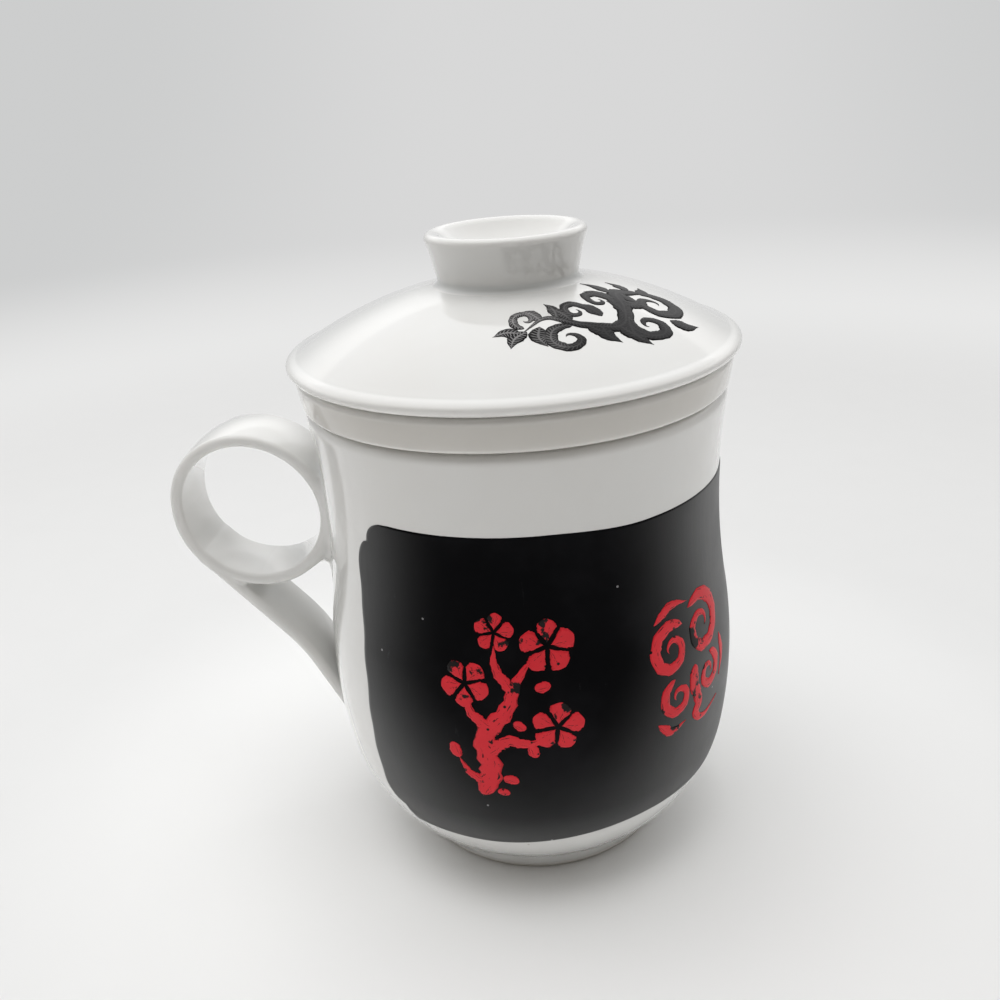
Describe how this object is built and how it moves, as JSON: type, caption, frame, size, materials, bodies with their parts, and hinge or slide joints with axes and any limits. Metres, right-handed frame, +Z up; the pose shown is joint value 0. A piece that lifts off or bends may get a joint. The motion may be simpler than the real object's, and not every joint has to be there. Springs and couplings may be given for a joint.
{
  "type": "lidded tea mug with infuser",
  "caption": "Porcelain tea mug with a ribbon ring handle, a lift-out perforated infuser, a loose domed lid with a ring knob and a dark heat-change film.",
  "frame": {"origin": "on the mug's axis, in the plane that the foot ring stands on", "axes": "+Z up along the mug's axis; the handle lies along -X; +Y completes the right-handed frame"},
  "size_m": [0.1174, 0.088, 0.1292],
  "materials": {
    "porcelain_mug": "gloss",
    "film": "satin",
    "porcelain_infuser": "gloss",
    "porcelain_lid": "gloss"
  },
  "bodies": {
    "mug": {"mug_body": "porcelain_mug", "handle": "porcelain_mug", "heat_change_film": "film"},
    "infuser": {"infuser_basket": "porcelain_infuser", "infuser_strainer": "porcelain_infuser"},
    "lid": {"lid_dish": "porcelain_lid", "lid_knob": "porcelain_lid"}
  },
  "joints": [
    {"name": "infuser_lift", "type": "slide", "parent": "mug", "child": "infuser", "axis": [0, 0, 1], "range_m": [0, 0.09]},
    {"name": "lid_lift", "type": "slide", "parent": "infuser", "child": "lid", "axis": [0, 0, 1], "range_m": [0, 0.06]}
  ]
}
